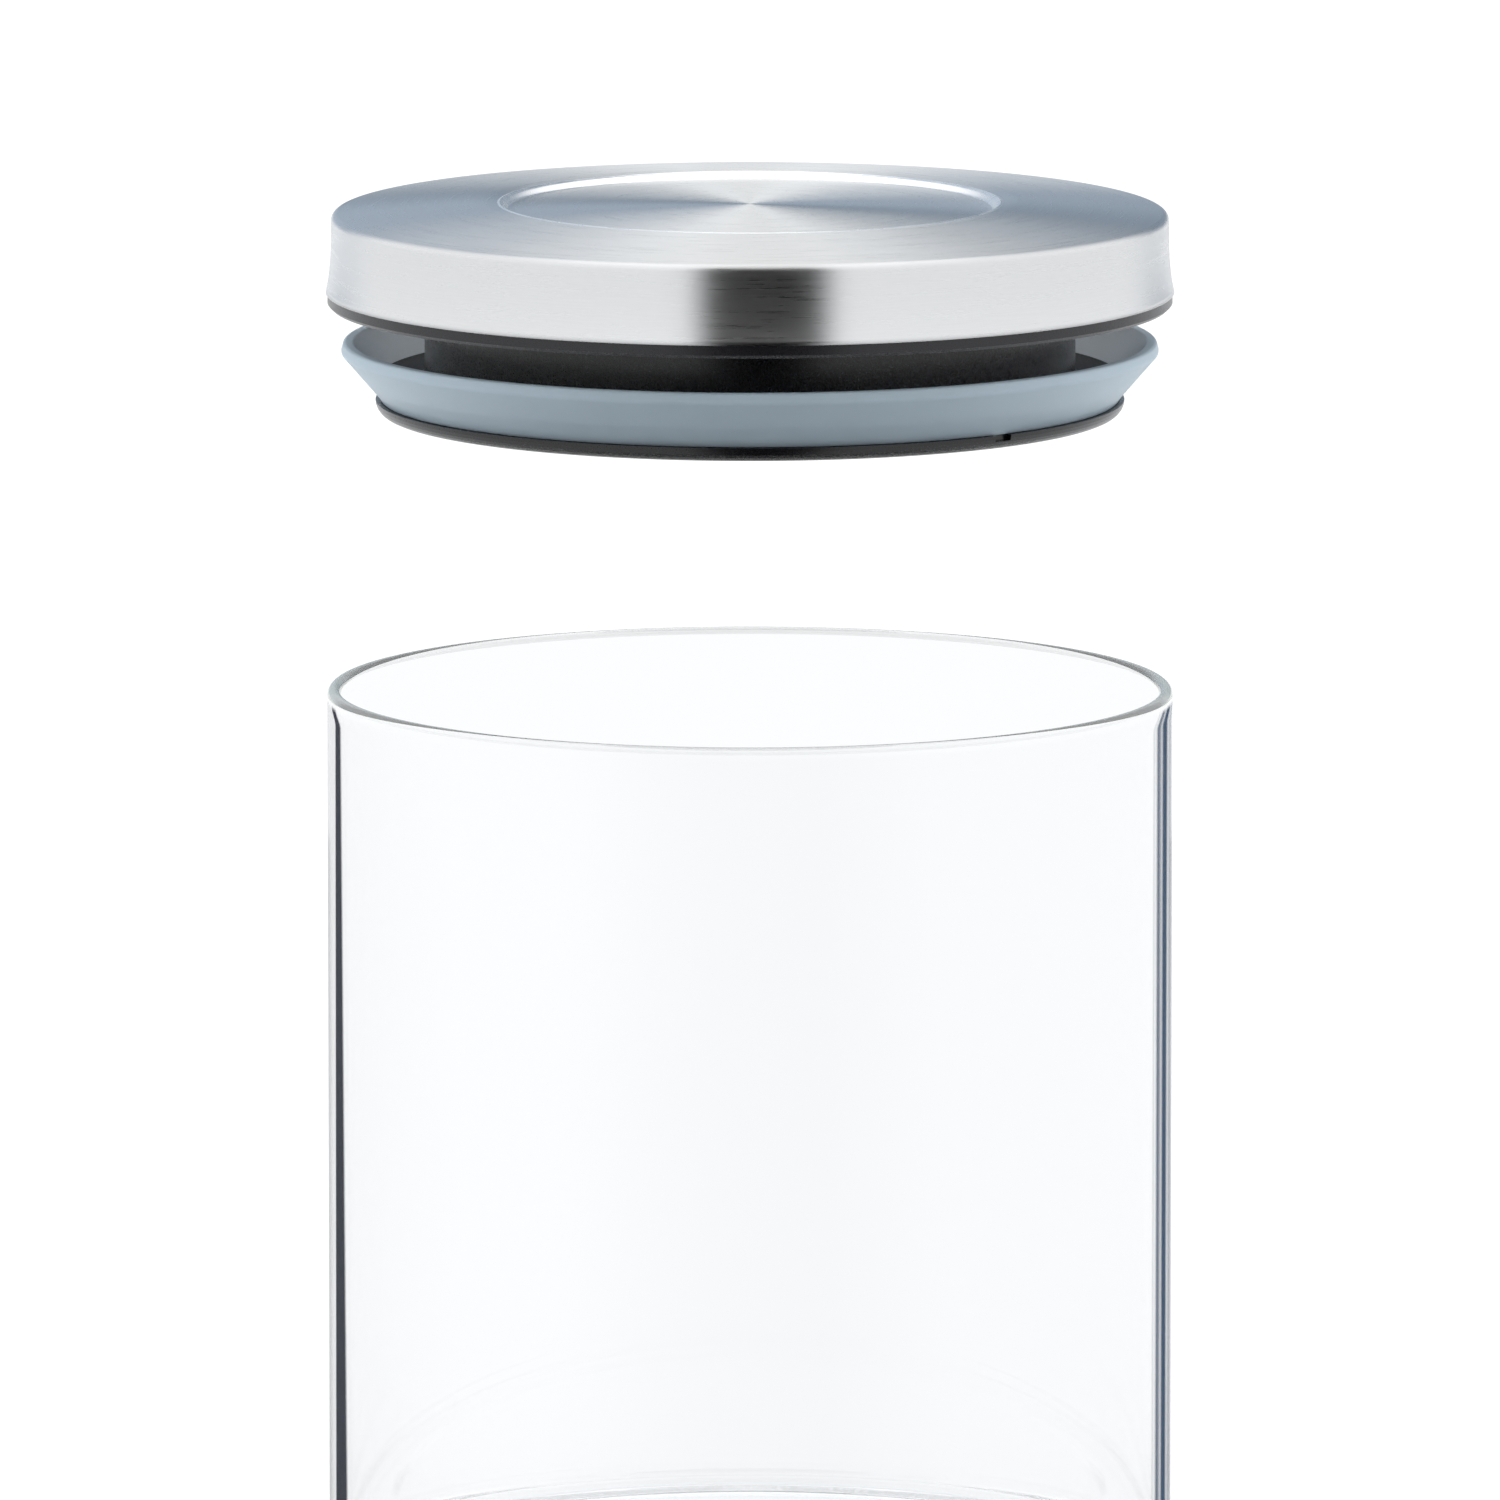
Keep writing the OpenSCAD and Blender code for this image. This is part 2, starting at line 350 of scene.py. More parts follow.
half = 60.0
floor_mesh = bpy.data.meshes.new("floor")
floor_corners = [(-half, -half, 0), (half, -half, 0), (half, half, 0), (-half, half, 0)]
floor_mesh.from_pydata(floor_corners, [], [(0, 1, 2, 3)])
floor_mesh.materials.append(white_sweep())
floor = bpy.data.objects.new("floor", floor_mesh)
bpy.context.scene.collection.objects.link(floor)
print(f"floor: {2 * half:.0f} m wide")

# %% [markdown]
# Light runs down inside a glass wall as one mirror image after another, so its rays may bounce often.
# The plain view transform keeps the white of the sweep white.

# %% Light paths and view
light_paths = bpy.context.scene.cycles
light_paths.max_bounces = light_paths.glossy_bounces = light_paths.transmission_bounces = 24
bpy.context.scene.view_settings.view_transform = "Standard"
print("bounces:", light_paths.max_bounces, "view:", bpy.context.scene.view_settings.view_transform)

# %% [markdown]
# Real edges are never knife-sharp. A Bevel modifier could round them all, but each corner of these
# pieces has its own radius, so each becomes an arc here. A point just before and after each arc keeps
# the shading of the flat beside it flat.

# %% One rounded corner
BESIDE_ARC = 1.15               # where the extra point lies, as a share of the arc's reach


def corner_arc(before, here, after, radius, steps):
    """The points of one rounded corner."""
    to_before, to_after = before - here, after - here
    half_angle = to_before.angle(to_after) / 2
    cut = min(radius / math.tan(half_angle), 0.49 * to_before.length, 0.49 * to_after.length)
    size = cut * math.tan(half_angle)
    start, end = to_before.normalized(), to_after.normalized()
    centre = here + (start + end).normalized() * (size / math.sin(half_angle))
    first, last = here + start * cut - centre, here + end * cut - centre
    sweep = math.atan2(first.x * last.y - first.y * last.x, first.dot(last))
    points = [here + start * min(BESIDE_ARC * cut, 0.495 * to_before.length)]
    for k in range(steps + 1):
        turn = sweep * k / steps
        c, s = math.cos(turn), math.sin(turn)
        points.append(centre + Vector((first.x * c - first.y * s, first.x * s + first.y * c)))
    points.append(here + end * min(BESIDE_ARC * cut, 0.495 * to_after.length))
    return points


one_corner = corner_arc(Vector((0, 1)), Vector((0, 0)), Vector((1, 0)), 0.2, 6)
print("one corner takes", len(one_corner), "points")

# %% [markdown]
# An outline is a list of corners, each with its distance from the axis, its height and its rounding.
# Straight runs need no points between their ends, except in glass, where long thin faces bend light
# unevenly, so they can be cut into steps.

# %% Rounded outlines
def rounded(corners, closed=True, steps=6):
    """The points of an outline in the plane of radius and height, with its corners rounded."""
    count = len(corners)
    points = []
    for i, (r, z, radius) in enumerate(corners):
        here = Vector((r, z))
        if radius == 0 or (not closed and i in (0, count - 1)):
            points.append(here)
            continue
        before, after = Vector(corners[i - 1][:2]), Vector(corners[(i + 1) % count][:2])
        points += corner_arc(before, here, after, radius, steps)
    return points


def straight_steps(points, longest):
    """Cuts long straight runs into shorter ones, so that the surface bends light evenly."""
    out = []
    for a, b in zip(points, points[1:]):
        pieces = max(1, math.ceil((b - a).length / longest))
        out += [a.lerp(b, k / pieces) for k in range(pieces)]
    return out + [points[-1]]


rounded_square = rounded([(0, 0, 1), (4, 0, 1), (4, 4, 1), (0, 4, 1)])
print("a square with rounded corners has", len(rounded_square), "points")

# %% [markdown]
# The lathe. The Screw modifier can spin an outline too, but a Geometry Nodes tree shows each step. It
# sweeps the outline along a circle round the Z axis, welds the points that meet on the axis, smooths
# the shading and sets the finish. The number of steps round the circle is an input.

# %% Lathe
LATHE_INPUTS = (
    ("Geometry", "NodeSocketGeometry"), ("Steps Round", "NodeSocketInt"),
    ("Circle Radius", "NodeSocketFloat"), ("Finish", "NodeSocketMaterial"))
WELD = 1e-6


def lathe_tree():
    tree = bpy.data.node_groups.new("lathe", "GeometryNodeTree")
    for name, kind in LATHE_INPUTS:
        tree.interface.new_socket(name, in_out="INPUT", socket_type=kind)
    tree.interface.new_socket("Geometry", in_out="OUTPUT", socket_type="NodeSocketGeometry")
    entry = add_node(tree, "NodeGroupInput")
    outline = add_node(tree, "GeometryNodeMeshToCurve")
    circle = add_node(tree, "GeometryNodeCurvePrimitiveCircle")
    sweep = add_node(tree, "GeometryNodeCurveToMesh")
    weld = add_node(tree, "GeometryNodeMergeByDistance")
    weld.inputs["Distance"].default_value = WELD
    smooth = add_node(tree, "GeometryNodeSetShadeSmooth")
    realize = add_node(tree, "GeometryNodeRealizeInstances")
    finish = add_node(tree, "GeometryNodeSetMaterial")
    leave = add_node(tree, "NodeGroupOutput")
    link = tree.links.new
    link(entry.outputs["Geometry"], outline.inputs["Mesh"])
    link(entry.outputs["Steps Round"], circle.inputs["Resolution"])
    link(entry.outputs["Circle Radius"], circle.inputs["Radius"])
    link(circle.outputs["Curve"], sweep.inputs["Curve"])
    link(outline.outputs["Curve"], sweep.inputs["Profile Curve"])
    link(entry.outputs["Finish"], finish.inputs["Material"])
    chain = (sweep, weld, smooth, realize, finish, leave)
    for a, b in zip(chain, chain[1:]):
        link(a.outputs[0], b.inputs["Geometry"])
    return tree


LATHE = lathe_tree()
print("lathe:", len(LATHE.nodes), "nodes")

# %% [markdown]
# To use the lathe, the outline becomes a thin mesh of edges on an object that carries it. The result
# is kept as a plain mesh and the carrier is deleted, so that nothing is left to work out in a render.

# %% Sweep an outline
CIRCLE_RADIUS = 0.1
STEPS_ROUND = 256


def swept_mesh(name, points, finish, closed):
    """The lathe's result for an outline, as a mesh."""
    outline = bpy.data.meshes.new(name + "_outline")
    verts = [(p.x - CIRCLE_RADIUS, -p.y, 0) for p in points]
    edges = [(i, i + 1) for i in range(len(verts) - 1)]
    if closed:
        edges.append((len(verts) - 1, 0))
    outline.from_pydata(verts, edges, [])
    holder = bpy.data.objects.new(name + "_holder", outline)
    bpy.context.scene.collection.objects.link(holder)
    modifier = holder.modifiers.new("lathe", "NODES")
    modifier.node_group = LATHE
    values = {"Steps Round": STEPS_ROUND, "Circle Radius": CIRCLE_RADIUS, "Finish": finish}
    for item in LATHE.interface.items_tree:
        if item.in_out == "INPUT" and item.name in values:
            modifier[item.identifier] = values[item.name]
    bpy.context.view_layer.update()
    mesh = bpy.data.meshes.new_from_object(holder.evaluated_get(bpy.context.evaluated_depsgraph_get()))
    bpy.data.objects.remove(holder)
    mesh.name = name
    return mesh


print("outlines are swept round in", STEPS_ROUND, "steps")

# %% [markdown]
# A swept mesh still has to be made sound. Its faces are turned outwards, because glass with faces that
# point inwards bends light the wrong way, and its open edges are counted, because there must be none.

# %% Spin a piece
def spin(name, points, finish, closed=True):
    """Spins an outline round the Z axis into a closed mesh object at the origin."""
    mesh = swept_mesh(name, points, finish, closed)
    shell = bmesh.new()
    shell.from_mesh(mesh)
    bmesh.ops.remove_doubles(shell, verts=shell.verts, dist=WELD / 10)
    bmesh.ops.recalc_face_normals(shell, faces=shell.faces)
    volume = shell.calc_volume(signed=True) / MM ** 3
    open_edges = sum(not e.is_manifold for e in shell.edges)
    shell.to_mesh(mesh)
    shell.free()
    if not mesh.materials:
        mesh.materials.append(finish)
    piece = bpy.data.objects.new(name, mesh)
    bpy.context.scene.collection.objects.link(piece)
    print(f"{name}: {len(mesh.polygons)} faces, {volume:.0f} mm3, {open_edges} open edges")
    return piece


print("ready to spin")

# %% [markdown]
# Clear borosilicate glass. A Principled shader with full transmission is all that the inside of the jar
# needs: smooth, with the refractive index of this glass and a breath of blue.

# %% Clear glass
GLASS_IOR = 1.47
GLASS_TINT = (0.985, 0.992, 1.0, 1)


def clear_glass(name):
    return new_finish(name, Base_Color=GLASS_TINT, Roughness=0.0, IOR=GLASS_IOR, Transmission_Weight=1.0)


inside_glass = clear_glass("clear_glass")[0]
print("finish:", inside_glass.name)

# %% [markdown]
# What lets one see a glass at all is a dark line down each side, where the edge of its wall looks past
# the white sweep into the dark of a real room. This room is white all round, so the glass would vanish.
# Dark panels would show in it from every side. So the outside gets a painted dark layer, a painted
# reflection of that dark room, which only shows where it is seen nearly edge-on. These helpers find that
# place and draw lines in it.

# %% Helpers for glass
def edge_on_view(tree):
    """1 where a surface is seen edge-on, 0 where it faces the viewer."""
    return add_node(tree, "ShaderNodeLayerWeight").outputs["Facing"]


def depth_under_rim(tree):
    """How far a point lies under the rim, and its split position."""
    split = add_node(tree, "ShaderNodeSeparateXYZ")
    tree.links.new(object_position(tree), split.inputs[0])
    return math_node(tree, "SUBTRACT", jar_h, split.outputs["Z"]), split


def line_strength(tree, value, stops):
    """A strength read off a line through the stops, each with its place and its height."""
    ramp = add_node(tree, "ShaderNodeValToRGB")
    elements = ramp.color_ramp.elements
    while len(elements) < len(stops):
        elements.new(0.5)
    for element, (place, strength) in zip(elements, stops):
        element.position = place
        element.color = (strength, strength, strength, 1)
    tree.links.new(value, ramp.inputs[0])
    return ramp.outputs["Color"]


# strengths of the painted dark lines from the silhouette, at 0, inwards
LEFT_LINE = [(0.0, 0.96), (0.236, 0.96), (0.252, 0.09), (0.30, 0.05), (0.5, 0.02), (0.7, 0.0)]
RIGHT_LINE = [
    (0.0, 0.03), (0.07, 0.15), (0.095, 0.50), (0.12, 0.50), (0.144, 0.32), (0.155, 0.60),
    (0.170, 0.97), (0.203, 0.95), (0.213, 0.62), (0.224, 0.42), (0.236, 0.72), (0.253, 0.90),
    (0.262, 0.60), (0.271, 0.18), (0.280, 0.16), (0.288, 0.30), (0.298, 0.02)]
print("glass lines:", len(LEFT_LINE), "stops on the left,", len(RIGHT_LINE), "on the right")

# %% [markdown]
# The painted dark reflection on the outside. On the left it is one sharp line, a little thicker towards
# the foot and hooked outwards under the rim. On the right it is striped and bluer, a painted reflection
# of two lights that meet, fixed to the jar's right side. The layer is only on the outer face, so the
# lines don't double inside the wall.

# %% Painted dark edge lines on the outside of the glass
PAINTED_DARK_LEFT, PAINTED_DARK_RIGHT = (0.024, 0.028, 0.042), (0.035, 0.070, 0.125)
HOOK_FROM, HOOK_TO, HOOK_REACH = 1.2 * MM, 3.2 * MM, 0.05
LINE_START, LINE_SOFTNESS = 0.186, 0.012        # where the left line starts, and how softly
OUTER_DRIFT, INNER_DRIFT = 5200 * MM, 2500 * MM # how slowly its two edges move with depth
HALO = 0.20                                     # how much painted dark is left outside of it
PAINTED_LINES_FROM, PAINTED_LINES_TO = 1.0 * MM, 1.7 * MM       # the depth under the rim where the painted dark sets in


def glass_with_painted_edge_lines(name):
    material, tree, glass = clear_glass(name)
    depth, split = depth_under_rim(tree)
    inwards = math_node(tree, "SUBTRACT", 1.0, edge_on_view(tree))
    hook = smooth_between(tree, depth, HOOK_FROM, HOOK_TO, HOOK_REACH, 0.0)
    inwards = math_node(tree, "ADD", inwards, hook)
    start = math_node(tree, "SUBTRACT", LINE_START, math_node(tree, "DIVIDE", depth, OUTER_DRIFT))
    past = math_node(tree, "SUBTRACT", inwards, start)
    past = math_node(tree, "DIVIDE", past, LINE_SOFTNESS, clamp=True)
    thicker = math_node(tree, "SUBTRACT", inwards, math_node(tree, "DIVIDE", depth, INNER_DRIFT))
    left = math_node(tree, "MULTIPLY", line_strength(tree, thicker, LEFT_LINE),
                     math_node(tree, "MAXIMUM", past, HALO))
    right = line_strength(tree, inwards, RIGHT_LINE)
    # The left and right looks are painted on the jar's own left and right sides, so they turn with the
    # jar.
    side = smooth_between(tree, split.outputs["X"], -0.4 * jar_r, 0.4 * jar_r)
    lines = add_node(tree, "ShaderNodeMix", data_type="FLOAT")
    for socket, value in (("Factor", side), ("A", left), ("B", right)):
        tree.links.new(value, lines.inputs[socket])
    backfacing = add_node(tree, "ShaderNodeNewGeometry").outputs["Backfacing"]
    outer_face = math_node(tree, "SUBTRACT", 1.0, backfacing)
    below_rim = smooth_between(tree, depth, PAINTED_LINES_FROM, PAINTED_LINES_TO)
    where = math_node(tree, "MULTIPLY", outer_face, below_rim)
    amount = math_node(tree, "MULTIPLY", where, lines.outputs[0])
    # Painted dark reflection: a dark diffuse layer laid over the clear glass.
    painted_dark_layer = add_node(tree, "ShaderNodeBsdfDiffuse")
    tree.links.new(colour_mix(tree, side, PAINTED_DARK_LEFT, PAINTED_DARK_RIGHT), painted_dark_layer.inputs["Color"])
    mix_shaders(tree, amount, glass, painted_dark_layer)
    return material


outside_glass = glass_with_painted_edge_lines("glass_outside_painted_dark_lines")
print("finish:", outside_glass.name)

# %% [markdown]
# The rim. A fire-polished rim gathers light along the whole ring, so it shows the glass's own grey-green
# and a thin dark border, while the wall under it stays clear. Absorbing glass would tint the whole jar.
# A second, solid shader laid over the clear one paints that light onto the rim only: a pale painted
# light where the rim faces the viewer, the glass's own grey-green mixed with painted piped light where
# it is seen edge-on, and a painted dark border and a painted dark line just under its top.

# %% Rim of the glass, with painted light and dark lines
RIM_PAINTED_PALE, RIM_GREEN, RIM_CLOUD = (0.94, 0.96, 0.95), (0.60, 0.66, 0.60), (0.62, 0.66, 0.64)
RIM_PAINTED_DARK_BORDER = (0.13, 0.16, 0.15)
RIM_PAINTED_LINE_DEPTH, RIM_PAINTED_LINE_WIDTH = 0.60 * MM, 0.12 * MM


def rim_glass_with_painted_light(name):
    material, tree, glass = clear_glass(name)
    # The solid body carries the painted light and the painted dark lines.
    body = add_node(tree, "ShaderNodeBsdfPrincipled")
    body.inputs["Roughness"].default_value = 0.06
    body.inputs["IOR"].default_value = GLASS_IOR
    edge_on = edge_on_view(tree)
    # Painted light: pale where the rim faces the viewer, the glass's grey-green mixed with painted piped
    # light edge-on.
    tint = colour_mix(tree, smooth_between(tree, edge_on, 0.74, 0.86), RIM_PAINTED_PALE, RIM_GREEN)
    cloud = noise(tree, object_position(tree), 1 / (9 * MM), 2.0)
    tint = colour_mix(tree, smooth_between(tree, cloud, 0.3, 0.7, 0.0, 0.14), tint, RIM_CLOUD)
    # A painted dark line just under the top, and a painted dark border where the rim is seen edge-on.
    depth, _ = depth_under_rim(tree)
    off_line = math_node(tree, "ABSOLUTE", math_node(tree, "SUBTRACT", depth, RIM_PAINTED_LINE_DEPTH))
    line = smooth_between(tree, off_line, 0.0, RIM_PAINTED_LINE_WIDTH, 0.35, 0.0)
    border = math_node(tree, "MAXIMUM", smooth_between(tree, edge_on, 0.925, 0.975), line)
    tree.links.new(colour_mix(tree, border, tint, RIM_PAINTED_DARK_BORDER), body.inputs["Base Color"])
    mix_shaders(tree, smooth_between(tree, edge_on, 0.70, 0.86, 0.25, 0.86), glass, body)
    return material


rim_finish = rim_glass_with_painted_light("glass_rim_painted_light_and_lines")
print("finish:", rim_finish.name)

# %% [markdown]
# The jar. A real one is drawn from a tube and its floor is melted on. It stands on a narrow ring round a
# shallow hollow, its wall thickens a little below the neck, and its rim is rounded by a flame.

# %% The jar's measures
heel_wall = 2.0 * MM
neck_depth = 18 * MM
foot_round = 5 * MM
floor_round = 1.6 * MM
stand_w = 3 * MM
push_up = 0.8 * MM
floor_top = 5.5 * MM + push_up
heel_r = jar_r - heel_wall
stand_r = jar_r - foot_round - stand_w
hollow_run, hollow_round = 1.5 * MM, 1.5 * MM   # where the hollow under the floor starts to drop
stand_run, stand_round = 0.5 * MM, 0.8 * MM     # where it meets the ring that the jar stands on
neck_bend = 30 * MM
rim_z = jar_h - 0.03 * MM       # a hair low, so that the shut plate rests on it and doesn't cut in
rim_round = 0.499 * neck_wall   # just under half the wall, so that the two arcs don't cross
outer_skin = 0.1 * MM           # faces this close to the full radius are the outside
print(f"jar: {neck_wall / MM:.1f} mm wall at the neck, {heel_wall / MM:.1f} mm at the heel")

# %% [markdown]
# The glass is one spun outline: from the hollow under the floor, round the foot, up the wall, over the
# rim and down to the floor inside. Inside and outside could be two open sheets, but light only bends
# rightly in a closed solid. The outside and the rim get their own finishes.

# %% Jar
jar_outline = rounded([
    (0, push_up, 0),
    (stand_r - hollow_run, push_up, hollow_round),
    (stand_r + stand_run, 0, stand_round),
    (jar_r, 0, foot_round),
    (jar_r, rim_z, rim_round),
    (bore_r, rim_z, rim_round),
    (bore_r, jar_h - neck_depth, neck_bend),
    (heel_r, floor_top, floor_round),
    (0, floor_top, 0),
], closed=False, steps=16)
jar = spin("jar_glass", straight_steps(jar_outline, 4 * MM), inside_glass, closed=False)
jar.data.materials.append(outside_glass)
jar.data.materials.append(rim_finish)
for face in jar.data.polygons:
    if face.center.z > jar_h - neck_wall / 2:
        face.material_index = 2
    elif math.hypot(face.center.x, face.center.y) > jar_r - outer_skin:
        face.material_index = 1
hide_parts("glass_jar")
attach(jar, "jar")

# %% [markdown]
# Brushed steel. The sheet is brushed while it spins, so every scratch is part of a ring, and the steel
# spreads light across the rings but not along them. An anisotropic shader does that. It is told that
# the grain runs round the axis. Real scratches in the mesh would need millions of faces, so noise
# stretched into rings gives them their uneven depth. A distance measured along the skin, outwards and
# then down the side, carries the rings over the edge without a break.

# %% Rings in the steel
def unit(tree, vector):
    node = add_node(tree, "ShaderNodeVectorMath", operation="NORMALIZE")
    tree.links.new(vector, node.inputs[0])
    return node.outputs[0]


def ring_space(tree, skin_top):
    """The direction outwards, the direction along the grain, and the distance along the skin."""
    split = add_node(tree, "ShaderNodeSeparateXYZ")
    tree.links.new(object_position(tree), split.inputs[0])
    flat = add_node(tree, "ShaderNodeCombineXYZ")
    for axis in "XY":
        tree.links.new(split.outputs[axis], flat.inputs[axis])
    along = add_node(tree, "ShaderNodeVectorMath", operation="CROSS_PRODUCT")
    along.inputs[0].default_value = (0, 0, 1)
    tree.links.new(flat.outputs[0], along.inputs[1])
    reach = add_node(tree, "ShaderNodeVectorMath", operation="LENGTH")
    tree.links.new(flat.outputs[0], reach.inputs[0])
    depth = math_node(tree, "SUBTRACT", skin_top, split.outputs["Z"])
    skin = math_node(tree, "ADD", reach.outputs["Value"], depth)
    return unit(tree, flat.outputs[0]), unit(tree, along.outputs[0]), skin


def ring_noise(tree, outwards, skin, length, pitch):
    """Noise in rings. length is how far round a streak runs, as a share of the radius."""
    split = add_node(tree, "ShaderNodeSeparateXYZ")
    tree.links.new(outwards, split.inputs[0])
    vector = add_node(tree, "ShaderNodeCombineXYZ")
    for axis in "XY":
        tree.links.new(math_node(tree, "DIVIDE", split.outputs[axis], length), vector.inputs[axis])
    tree.links.new(math_node(tree, "DIVIDE", skin, pitch), vector.inputs["Z"])
    return noise(tree, vector.outputs[0], 1.0, 3.0)


print("ring pattern ready")

# %% [markdown]
# The steel has two finishes. Most of it is brushed. The steep part of the step round the recess was
# rubbed smooth by the forming tool, so it has no grain and mirrors the lamp overhead as a clean line.

# %% Steel
STEEL_DARK, STEEL_LIGHT = (0.62, 0.625, 0.63), (0.76, 0.765, 0.77)
RUBBED_DARK, RUBBED_LIGHT = (0.86, 0.87, 0.88), (0.96, 0.97, 0.98)
FINE_SHARE = 0.6


def brushed_steel(name, skin_top):
    material, tree, steel = new_finish(name, Metallic=1.0, Anisotropic=1.0, Anisotropic_Rotation=0.25)
    outwards, along, skin = ring_space(tree, skin_top)
    fine = ring_noise(tree, outwards, skin, 0.12, 0.16 * MM)
    broad = ring_noise(tree, outwards, skin, 0.5, 0.9 * MM)
    both = math_node(tree, "ADD", math_node(tree, "MULTIPLY", fine, FINE_SHARE),
                     math_node(tree, "MULTIPLY", broad, 1 - FINE_SHARE))
    tree.links.new(along, steel.inputs["Tangent"])
    tree.links.new(colour_mix(tree, both, STEEL_DARK, STEEL_LIGHT), steel.inputs["Base Color"])
    tree.links.new(smooth_between(tree, both, 0.2, 0.8, 0.24, 0.36), steel.inputs["Roughness"])
    bump(tree, steel, fine, 0.004 * MM, 0.18)
    return material


def burnished_steel(name):
    material, tree, steel = new_finish(name, Metallic=1.0)
    cloud = noise(tree, object_position(tree), 1 / (4 * MM), 3.0)
    tree.links.new(colour_mix(tree, cloud, RUBBED_DARK, RUBBED_LIGHT), steel.inputs["Base Color"])
    tree.links.new(smooth_between(tree, cloud, 0.3, 0.7, 0.22, 0.32), steel.inputs["Roughness"])
    return material


cap_top = cap_high.z
steel = brushed_steel("brushed_cap_steel", cap_top)
burnished = burnished_steel("burnished_cap_steel")
print("finishes:", steel.name, "and", burnished.name)

# %% [markdown]
# The cap's top. Its shape sets where each light is mirrored, so it is written as a height for each
# distance from the axis: a recess with a low crown, a steep step, a fine raised line where the tool
# left the step, a soft shoulder, and a gentle slope to the edge.

# %% The cap's measures
sheet_t = 0.6 * MM
flare = 0.65 * MM
cap_wall_r = cap_high.x - flare
cap_edge_round = 0.9 * MM
cap_flat_r = cap_wall_r - cap_edge_round
crown = 1.3 * MM
recess_r = 28.6 * MM
recess_step = 3 * MM            # the whole step, with its soft shoulder
recess_wall = 0.7 * MM          # its steep inner part
shoulder_share = 0.22           # how much of the depth the shoulder takes up
recess_depth = 0.9 * MM
recess_crown = 0.55 * MM
bead_w, bead_h = 0.5 * MM, 0.1 * MM
print(f"cap: {sheet_t / MM:.1f} mm sheet, recess {2 * recess_r / MM:.1f} mm wide")

# %% [markdown]
# The height could be drawn as an outline of arcs too. A formula gives as many points as the fine step
# needs, and one changed value moves them all.

# %% Shape of the cap's top
def ease(t):
    return t * t * (3 - 2 * t)


def step_climb(d):
    """How much of the recess depth the step has climbed at distance d from its foot, from 0 to 1."""
    return (1 - shoulder_share) * ease(min(1, d / recess_wall)) + shoulder_share * ease(d / recess_step)


def cap_face(r):
    """Height of the cap's top at distance r from the axis."""
    if r <= recess_r:
        return cap_top - recess_depth + recess_crown * (1 - (r / recess_r) ** 2)
    if r <= recess_r + recess_step:
        along_bead = min(1, max(0, (r - recess_r - recess_wall) / bead_w))
        bead = bead_h * math.sin(math.pi * along_bead) ** 2
        return cap_top - recess_depth * (1 - step_climb(r - recess_r)) + bead
    slope = (r - recess_r - recess_step) / (cap_flat_r - recess_r - recess_step)
    return cap_top - crown * (0.75 * slope + 0.25 * slope ** 3)


edge_drop = cap_top - cap_face(cap_flat_r)
print(f"cap: the edge is {edge_drop / MM:.1f} mm lower than the top")

# %% [markdown]
# The cap. One sheet of steel is spun over a form, so its inside follows its outside. A Solidify modifier
# could give it its thickness. Drawing the skin twice, the second time a sheet's thickness in, keeps the
# edge exact. The step has the closest points, because its shape is the finest.

# %% Cap
cap_edge_z = cap_top - crown
side_top = cap_edge_z - cap_edge_round
side_h = side_top - cap_low.z


def cap_skin(t):
    """Points from the centre over the edge to the foot, t inside the outer skin."""
    slope_w = cap_flat_r - recess_r - recess_step
    radii = [recess_r * k / 24 for k in range(24)]
    radii += [recess_r + recess_step * k / 60 for k in range(61)]
    radii += [recess_r + recess_step + slope_w * k / 12 for k in range(1, 12)]
    points = [Vector((r, cap_face(r) - t)) for r in radii]
    edge_centre = Vector((cap_flat_r, side_top))
    for k in range(13):
        turn = math.radians(84) * (1 - k / 12)
        points.append(edge_centre + (cap_edge_round - t) * Vector((math.cos(turn), math.sin(turn))))
    for k in range(1, 17):
        drop = k / 16
        points.append(Vector((cap_wall_r - t + flare * drop ** 3, side_top - side_h * drop)))
    return points


cap = spin("cap_steel", cap_skin(0) + cap_skin(sheet_t)[::-1], steel, closed=False)
cap.data.materials.append(burnished)
for face in cap.data.polygons:
    reach = math.hypot(face.center.x, face.center.y)
    if recess_r < reach < recess_r + recess_wall + bead_w and face.center.z > cap_edge_z:
        face.material_index = 1
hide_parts("steel_cap")
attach(cap, "lid")

# %% [markdown]
# Black plastic. Moulded parts have a satin skin with a faint orange peel, which a flat black would lack.
# One recipe does them all: clouds in the colour, a fine speckle in the gloss, and the same speckle as
# bump. The hub's shoulder comes from a spark-eroded part of the mould, so its grain is far coarser and
# glitters in low light.

# %% Plastics
def black_plastic(name, colour, roughness, grain, depth):
    material, tree, plastic = new_finish(name, IOR=1.5)
    place = object_position(tree)
    cloud = noise(tree, place, 1 / (6 * MM), 3.0)
    speckle = noise(tree, place, 1 / grain, 5.0, 0.7)
    dark = tuple(0.8 * c for c in colour)
    light = tuple(1.3 * c for c in colour)
    gloss = smooth_between(tree, speckle, 0.25, 0.75, roughness - 0.06, roughness + 0.08)
    tree.links.new(colour_mix(tree, cloud, dark, light), plastic.inputs["Base Color"])
    tree.links.new(gloss, plastic.inputs["Roughness"])
    bump(tree, plastic, speckle, depth)
    return material


hub_black = black_plastic("black_hub_plastic", (0.005, 0.005, 0.006), 0.27, 0.25 * MM, 0.0015 * MM)
sparked_black = black_plastic("sparked_hub_plastic", (0.03, 0.03, 0.034), 0.5, 0.28 * MM, 0.10 * MM)
plate_black = black_plastic("black_plate_plastic", (0.007, 0.007, 0.009), 0.28, 0.2 * MM, 0.002 * MM)
keeper_black = black_plastic("black_keeper_plastic", (0.004, 0.004, 0.005), 0.24, 0.2 * MM, 0.002 * MM)
print("finishes:", ", ".join(m.name for m in (hub_black, sparked_black, plate_black, keeper_black)))

